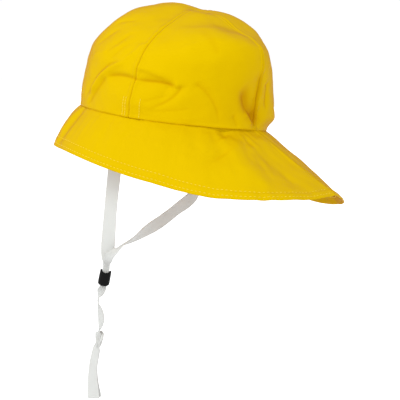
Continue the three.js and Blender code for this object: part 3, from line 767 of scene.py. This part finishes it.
stitch_points, stitch_polygons = [], []
stitch_rows = [edge_run(upper_row, 1), edge_run(lower_row, 1), edge_run(upper_row, -1)]
for tape_end_row in (87.6, 89.4, 98.8):
    stitch_rows += [upright_run(tape_end_row), upright_run(360 - tape_end_row)]
for stitch_row in stitch_rows:
    for place, onward, face in zip(*stitch_row):
        onward = onward / np.linalg.norm(onward)
        face = face - onward * (face @ onward)
        face = face / np.linalg.norm(face)
        across = np.cross(face, onward)
        first = len(stitch_points) * len(stitch_shape)
        bent = stitch_shape[:, 2:3]
        arch = thread_thick * 0.35 * (1 - 8 * bent**2)
        stitch_points.append(
            place
            + onward * bent * stitch_long
            + across * stitch_shape[:, 0:1] * thread_thick
            + face * (stitch_shape[:, 1:2] * thread_thick + arch)
        )
        stitch_polygons += [[first + corner for corner in polygon] for polygon in stitch_faces]

hem_stitches = new_piece("hem_stitches", np.concatenate(stitch_points).tolist(), stitch_polygons)
for polygon in hem_stitches.data.polygons:
    polygon.use_smooth = True
thread, thread_tree = new_material("pale_yellow_thread")
set_surface(thread_tree, {
    "Base Color": mixed(thread_tree, noise(thread_tree, 2500), (0.93, 0.70, 0.04, 1), (0.86, 0.62, 0.02, 1)),
    "Roughness": 0.6,
})
hem_stitches.data.materials.append(thread)
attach(hem_stitches, "root")


# The chin tapes are two lengths of white woven tape, 15 mm wide, sewn into the crown seam over the ears. The
# left one hangs straight down, the right one loops across below the hat, and both pass folded through the
# stopper, are tied in one knot and end in two cut tails.
tape_width = 0.015
# The rows below are in millimetres. Each gives the middle line's place, the tape's turn about that line in
# degrees, its width and wall there, and how far it stands aside of the line or of the other tape.
full_width = 1000 * tape_width
flat_wall = 0.7
folded_wall = 2.0
hanging = ("x", "y", "z", "turn", "wide", "thick", "aside")
sharing = ("x", "y", "z", "turn", "wide", "thick", "apart")

left_hang = named(hanging, [
    (80.5, -9.2, 4.4, 5, full_width, flat_wall, 0),
    (80.6, -9.3, -22.8, 2, full_width, flat_wall, 0),
    (80.6, -10, -52.8, -3, full_width, flat_wall, 0),
    (80.6, -11.1, -90.7, 0, full_width, flat_wall, 0),
    (80.6, -11, -119.9, -8, full_width, flat_wall, 0),
    (80.4, -10.9, -135.5, -26, 0.8 * full_width, 1.6, 0.4),
])
right_hang = named(hanging, [
    (-80.5, -9.2, 4.4, -5, full_width, flat_wall, 0),
    (-80.4, -10.6, -22, 10, full_width, flat_wall, 0),
    (-78, -12.4, -48.5, 55, full_width, flat_wall, 0),
    (-67, -12.7, -78.4, 94, full_width, flat_wall, 0),
    (-38, -13.8, -93.9, 82, full_width, flat_wall, 0),
    (-8, -11.9, -105.5, 69, full_width, flat_wall, 0),
    (20, -8.7, -112.6, 46, full_width, flat_wall, 0),
    (47, -4.6, -118.8, 3, full_width, flat_wall, 0),
    (68, 1.1, -121.1, -20, full_width, flat_wall, 0),
    (83, 3.9, -124.8, 31, full_width, flat_wall, 0),
    (87, 0.4, -130.8, 33, 0.8 * full_width, 1.3, 0),
    (85.2, -5.6, -137.4, -12, 0.6 * full_width, 1.7, -0.6),
])
to_knot = named(sharing, [
    (81.5, -9.9, -143.4, -33, 6.8, folded_wall, 0.1),
    (81.2, -10.4, -149, -33, 6.6, folded_wall, 0.02),
    (81.5, -11.1, -156.5, -33, 6.6, folded_wall, 0.02),
    (81.5, -12, -165, -33, 6.6, folded_wall, 0.02),
    (81.5, -14.7, -171.3, 12, 8, 1.5, 0.02),
    (81.5, -16.5, -176.5, 54, 0.6 * full_width, flat_wall, 0.02),
    (81.5, -16.3, -182.3, 52, 10, flat_wall, 0.02),
    (81.5, -13.6, -188.8, 31, 11, flat_wall, 0.02),
    (81.5, -11.5, -195.4, 25, 11, flat_wall, 0.02),
    (81.5, -11.6, -202.3, 30, 10, flat_wall, 0.02),
    (81.5, -12.9, -209.6, 52, 7, flat_wall, 0.02),
    (81.5, -12.6, -217.6, 45, 6.5, 1.4, 0.02),
])
left_tail = named(hanging, [
    (81.5, -14, -226, 26, 0.8 * full_width, flat_wall, -0.37),
    (81.5, -15, -233, 25, 14, flat_wall, -0.37),
    (81.5, -16.3, -243, 24, full_width, flat_wall, -0.37),
    (81.5, -15.9, -254.4, 18, full_width, flat_wall, -0.37),
    (81.5, -14.4, -265, 9, full_width, flat_wall, -0.37),
    (81.5, -12.5, -276, 3, full_width, flat_wall, -0.37),
])
right_tail = named(hanging, [
    (81.5, -14, -226, 26, 0.8 * full_width, flat_wall, 0.37),
    (81.5, -15, -233, 25, 14, flat_wall, 0.37),
    (81.5, -16.3, -243, 24, full_width, flat_wall, 0.37),
    (81.5, -15.8, -254.4, 17, full_width, flat_wall, 0.37),
    (81.5, -14.1, -265, 6, full_width, flat_wall, 0.37),
    (81.5, -10.9, -275, -3, full_width, flat_wall, 0.37),
])


def woven_tape():
    """White woven tape: fine ribs along it, weft threads across it, and a matt, slightly uneven white"""
    tape, tree = new_material("white_woven_tape")
    flat = add_node(tree, "UVMap", uv_map="UVMap").outputs["UV"]
    way = add_node(tree, "SeparateXYZ", {"Vector": flat}).outputs
    ribs = maths(tree, "SINE", maths(tree, "MULTIPLY", way["X"], 2 * math.pi / 0.9))
    weft = maths(tree, "SINE", maths(tree, "MULTIPLY", way["Y"], 2 * math.pi / 0.62))
    weave = maths(tree, "MULTIPLY_ADD", weft, 0.22, ribs)
    shade = mapped(tree, weave, (-1.35, 1.35), (0, 1))
    tone = mixed(tree, shade, (0.69, 0.695, 0.68, 1), (0.79, 0.795, 0.78, 1))
    aged = maths(tree, "MULTIPLY", noise(tree, 60), 0.4)
    set_surface(tree, {
        "Base Color": mixed(tree, aged, tone, (0.70, 0.70, 0.68, 1)),
        "Roughness": 0.85,
        "Specular IOR Level": 0.25,
        "Sheen Weight": 0.12,
        "Normal": bumps(tree, weave, distance=0.00012, strength=0.8),
    })
    return tape


white_tape = woven_tape()
section_across = 14


def shared_rows(side):
    return [dict(row, aside=side * (row["thick"] + row["apart"]) / 2) for row in to_knot]


def ring_faces(rings, around, joined):
    """Faces between neighbouring rings of points; joined closes the last ring to the first"""
    faces = []
    for k in range(rings if joined else rings - 1):
        onward = (k + 1) % rings
        for i in range(around):
            beside = (i + 1) % around
            near, far = k * around, onward * around
            faces.append((near + i, near + beside, far + beside, far + i))
    return faces


def lay_out(piece, across, along):
    """Places on flat tape in millimetres: across for each point of a ring, along for each ring"""
    flat_map = piece.data.uv_layers.new(name="UVMap")
    corner = np.empty(len(piece.data.loops), int)
    piece.data.loops.foreach_get("vertex_index", corner)
    flat = np.stack([across[corner % len(across)], along[corner // len(across)]], -1)
    flat_map.data.foreach_set("uv", flat.astype(np.float32).ravel())


def tape_route(rows):
    """The tape's middle line, the ways of its width and its face, its sizes and its run, in millimetres"""
    place = np.array([[row["x"], row["y"], row["z"]] for row in rows])
    run = np.concatenate([[0], np.cumsum(np.linalg.norm(np.diff(place, axis=0), axis=1))])
    measured = [dict(row, run=r) for row, r in zip(rows, run)]
    at = np.linspace(0, run[-1], int(run[-1] / 1.1))

    def middle(where):
        return np.stack([read(measured, "run", axis, where) for axis in "xyz"], -1)

    def heading(where):
        step = middle(np.minimum(where + 0.4, run[-1])) - middle(np.maximum(where - 0.4, 0))
        return step / np.linalg.norm(step, axis=-1, keepdims=True)

    level = np.cross(heading(run), [1.0, 0, 0])
    level /= np.linalg.norm(level, axis=-1, keepdims=True)
    turn = np.radians([row["turn"] for row in rows])[:, None]
    spread = level * np.cos(turn) + np.cross(heading(run), level) * np.sin(turn)
    held = [dict(run=r, x=x, y=y, z=z) for r, (x, y, z) in zip(run, spread)]
    line, onward = middle(at), heading(at)
    width = np.stack([read(held, "run", axis, at) for axis in "xyz"], -1)
    width -= onward * np.sum(width * onward, -1, keepdims=True)
    width /= np.linalg.norm(width, axis=-1, keepdims=True)
    face = np.cross(onward, width)
    sizes = {name: read(measured, "run", name, at)[:, None] for name in ("wide", "thick", "aside")}
    return line, width, face, sizes, at


def make_tape(name, rows, nodes, seed):
    line, width, face, sizes, at = tape_route(rows)
    share = np.linspace(-1, 1, section_across)
    phase = np.random.default_rng(seed).uniform(0, 6.28, 2)
    crumple = np.clip((sizes["thick"] - 0.9) / 1.1, 0, 1)
    ripple = 0.12 * np.sin(at[:, None] / 17 + phase[0]) * share[None, :] ** 2
    ripple = ripple + crumple * 0.32 * np.sin(3.1 * np.pi * share[None, :] + at[:, None] / 5 + phase[1])
    half_wall = sizes["thick"] / 2 * (1 - 0.2 * share[None, :] ** 8)
    middle = line[:, None] + width[:, None] * (sizes["wide"] / 2 * share[None, :])[..., None]
    upper = middle + face[:, None] * (sizes["aside"] + half_wall + ripple)[..., None]
    lower = middle + face[:, None] * (sizes["aside"] - half_wall + ripple)[..., None]
    ring = np.concatenate([upper[:, ::-1], lower], axis=1)
    around = ring.shape[1]
    last = (len(line) - 1) * around
    faces = ring_faces(len(line), around, joined=False)
    faces.append(tuple(range(around - 1, -1, -1)))
    faces.append(tuple(range(last, last + around)))
    piece = new_piece(name, (ring.reshape(-1, 3) * 0.001).tolist(), faces)
    lay_out(piece, np.concatenate([share[::-1], share]) * full_width / 2, at)
    work_on(piece, bpy.ops.mesh.normals_make_consistent, inside=False)
    bpy.ops.object.shade_smooth_by_angle(angle=math.radians(40))
    piece.data.materials.append(white_tape)
    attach(piece, "root")
    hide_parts(*nodes)
    return piece, (line + face * sizes["aside"]) * 0.001


left_rows = [*left_hang, *shared_rows(1), *left_tail]
right_rows = [*right_hang, *shared_rows(-1), *right_tail]
tape_left, left_middle = make_tape("tape_left", left_rows, ["strap_left", "strap_tail_left"], 3)
tape_right, right_middle = make_tape("tape_right", right_rows, ["strap_right", "strap_tail_right"], 3)


# The knot is both tapes tied together in one overhand knot and pulled tight, so that their folded turns lie
# over each other as rounded lumps.
knot_place = (0.0815, -0.0118, -0.2176)
knot_heading = 123
knot_loops = (2.6, 1.5, 7.0)
knot_lift = 1.1
strand_thick, strand_wide = 1.25, 2.5


def knot_path(t):
    """The knot's middle line in millimetres, a closed line that crosses itself three times"""
    x = (np.sin(t) + 2 * np.sin(2 * t)) / 3
    y = (np.cos(t) - 2 * np.cos(2 * t)) / 3
    z = -np.sin(3 * t)
    return np.stack([x * knot_loops[0], z * knot_loops[1], y * knot_loops[2] + knot_lift], -1)


def make_knot():
    steps, ring_steps = 90, 14
    t = np.linspace(0, 2 * math.pi, steps, endpoint=False)
    middle = knot_path(t)
    onward = knot_path(t + 0.01) - knot_path(t - 0.01)
    onward /= np.linalg.norm(onward, axis=-1, keepdims=True)
    outward = middle - onward * np.sum(middle * onward, -1, keepdims=True)
    outward /= np.linalg.norm(outward, axis=-1, keepdims=True)
    sideways = np.cross(onward, outward)
    angle = np.linspace(0, 2 * math.pi, ring_steps, endpoint=False)
    wrinkle = 1 + 0.06 * np.sin(5 * angle[None, :] + 7 * t[:, None])
    ring = sideways[:, None] * (strand_thick * np.cos(angle)[None, :, None])
    ring = ring + outward[:, None] * (strand_wide * np.sin(angle)[None, :, None])
    flat = (middle[:, None] + ring * wrinkle[..., None]).reshape(-1, 3)
    heading = math.radians(knot_heading)
    way_x = np.array([math.cos(heading), math.sin(heading), 0])
    way_y = np.array([-math.sin(heading), math.cos(heading), 0])
    points = flat[:, 0:1] * way_x + flat[:, 1:2] * way_y + flat[:, 2:3] * np.array([0, 0, 1.0])
    points = points * 0.001 + np.array(knot_place)
    piece = new_piece("tape_knot", points.tolist(), ring_faces(steps, ring_steps, joined=True))
    lay_out(piece, angle * 2.2, np.arange(steps) * 0.6)
    work_on(piece, bpy.ops.mesh.normals_make_consistent, inside=False)
    bpy.ops.object.shade_smooth()
    piece.data.materials.append(white_tape)
    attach(piece, "root")
    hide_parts("strap_knot")
    return piece


tape_knot = make_knot()


# The stopper is a small oval barrel moulded in black plastic. Its top rim rises to an ear at both ends, and
# it slides on the folded tapes to draw them up under the chin.
stopper_width = 0.0114
stopper_depth = 0.010
stopper_height = 0.0132
stopper_ear = 0.003
stopper_foot = 0.0011
stopper_bore = 0.78
stopper_place = Vector((0.0815, -0.0111, -0.1566))
stopper_heading = 123
stopper_tilt = 6.2


def moulded_plastic():
    """Black moulded plastic, half matt, finely scuffed"""
    black, tree = new_material("black_moulded_plastic")
    scuff = noise(tree, 900, 4)
    set_surface(tree, {
        "Base Color": mixed(tree, scuff, (0.002, 0.002, 0.002, 1), (0.008, 0.008, 0.008, 1)),
        "Roughness": mapped(tree, scuff, (0, 1), (0.34, 0.52)),
        "Specular IOR Level": 0.09,
        "Normal": bumps(tree, scuff, distance=0.00006, strength=0.4),
    })
    return black


def make_stopper():
    profile = [
        (stopper_bore, 0.02), (0.80, 0.0), (0.87, -0.01), (0.93, 0.015), (0.965, 0.05), (0.985, 0.1),
        (0.975, 0.12), (0.99, 0.14), (1.0, 0.25), (1.0, 0.4), (0.995, 0.55), (0.985, 0.7), (0.97, 0.83),
        (0.955, 0.92), (0.93, 0.975), (0.885, 1.0), (0.835, 1.0), (0.79, 0.975), (stopper_bore, 0.93),
        (stopper_bore, 0.75), (stopper_bore, 0.5), (stopper_bore, 0.25),
    ]
    turns = 72
    points = []
    for i in range(turns):
        angle = 2 * math.pi * i / turns
        for radius, up in profile:
            crosswise = math.sin(angle) ** 2
            dip = stopper_ear * crosswise * up**3 + stopper_foot * crosswise * (1 - up) ** 3
            z = (up - 0.5) * stopper_height + stopper_ear / 2 * up**3 - dip
            mould_line = 1 - 0.012 * math.exp(-((math.sin(angle - 0.42) / 0.04) ** 2)) * (radius > 0.9)
            x = radius * math.cos(angle) * stopper_width / 2 * mould_line
            y = radius * math.sin(angle) * stopper_depth / 2 * mould_line
            points.append((x, y, z))
    piece = new_piece("slide_stopper", points, ring_faces(turns, len(profile), joined=True))
    heading = Matrix.Rotation(math.radians(stopper_heading), 4, "Z")
    tilt = Matrix.Rotation(math.radians(stopper_tilt), 4, "Y")
    piece.data.transform(Matrix.Translation(stopper_place) @ heading @ tilt)
    work_on(piece, bpy.ops.mesh.normals_make_consistent, inside=False)
    bpy.ops.object.shade_smooth()
    piece.data.materials.append(moulded_plastic())
    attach(piece, "root")
    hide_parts("stopper")
    return piece


slide_stopper = make_stopper()


# The studio: a plain white floor below the hat, which is held up as on a head, a white surround that is
# a little dimmer overhead, one large soft light above the wearer's left, and a long lens behind that side.
floor_height = -1.0
bpy.ops.object.select_all(action="DESELECT")
bpy.ops.mesh.primitive_plane_add(size=80, location=(0, 0, 0))
floor = bpy.context.object
floor.name = "studio_floor"
floor.data.transform(Matrix.Translation((0, 0, floor_height)))
white_floor, floor_tree = new_material("white_floor")
floor_place = add_node(floor_tree, "TexCoord").outputs["Object"]
floor_reach = add_node(floor_tree, "VectorMath", {0: floor_place}, operation="LENGTH").outputs["Value"]
set_surface(floor_tree, {
    "Base Color": (0.9, 0.9, 0.9, 1),
    "Roughness": 1,
    "Specular IOR Level": 0,
    "Emission Color": (1, 1, 1, 1),
    "Emission Strength": mapped(floor_tree, floor_reach, (2.2, 3.4), (0, 0.8), "SMOOTHSTEP"),
})
floor.data.materials.append(white_floor)

bpy.context.scene.view_settings.view_transform = "Standard"
world = bpy.data.worlds.new("studio")
bpy.context.scene.world = world
world.use_nodes = True
world_tree = world.node_tree
sky_way = add_node(world_tree, "TexCoord").outputs["Generated"]
sky_height = add_node(world_tree, "SeparateXYZ", {"Vector": sky_way}).outputs["Z"]
set_inputs(world_tree, world_tree.nodes["Background"], {
    "Color": (1, 1, 1, 1),
    "Strength": mapped(world_tree, sky_height, (0.08, 0.2), (1.02, 0.85), "SMOOTHSTEP"),
})

view_azimuth = math.radians(123)
view_elevation = math.radians(5)
view_roll = math.radians(4.8)
view_distance = 1.5
view_lens = 135
photo_middle = 200
origin_across, origin_down = 174.7, 118.7
metres_per_pixel = 0.001

back = Vector((
    math.sin(view_azimuth) * math.cos(view_elevation),
    -math.cos(view_azimuth) * math.cos(view_elevation),
    math.sin(view_elevation),
))
right = Vector((0, 0, 1)).cross(back).normalized()
up = back.cross(right)
image_right = right * math.cos(view_roll) + up * math.sin(view_roll)
image_up = up * math.cos(view_roll) - right * math.sin(view_roll)
target = image_right * (photo_middle - origin_across) * metres_per_pixel
target -= image_up * (photo_middle - origin_down) * metres_per_pixel
eye = target + back * view_distance
lens = bpy.data.cameras.new("long_lens")
lens.lens = view_lens
lens.sensor_width = 36
camera = bpy.data.objects.new("long_lens", lens)
bpy.context.collection.objects.link(camera)
camera.matrix_world = Matrix((
    (image_right.x, image_up.x, back.x, eye.x),
    (image_right.y, image_up.y, back.y, eye.y),
    (image_right.z, image_up.z, back.z, eye.z),
    (0, 0, 0, 1),
))
bpy.context.scene.camera = camera


key_place = Vector((1.32, -0.23, 1.3))
key_aim = Vector((0, 0, 0.02))
key = bpy.data.lights.new("key_softbox", "AREA")
key.color = (0.97, 1.02, 0.97)
key.shape = "DISK"
key.size = 0.8
key.energy = 11.5
key_softbox = bpy.data.objects.new("key_softbox", key)
bpy.context.collection.objects.link(key_softbox)
key_softbox.location = key_place
key_softbox.rotation_euler = (key_aim - key_place).to_track_quat("-Z", "Y").to_euler()
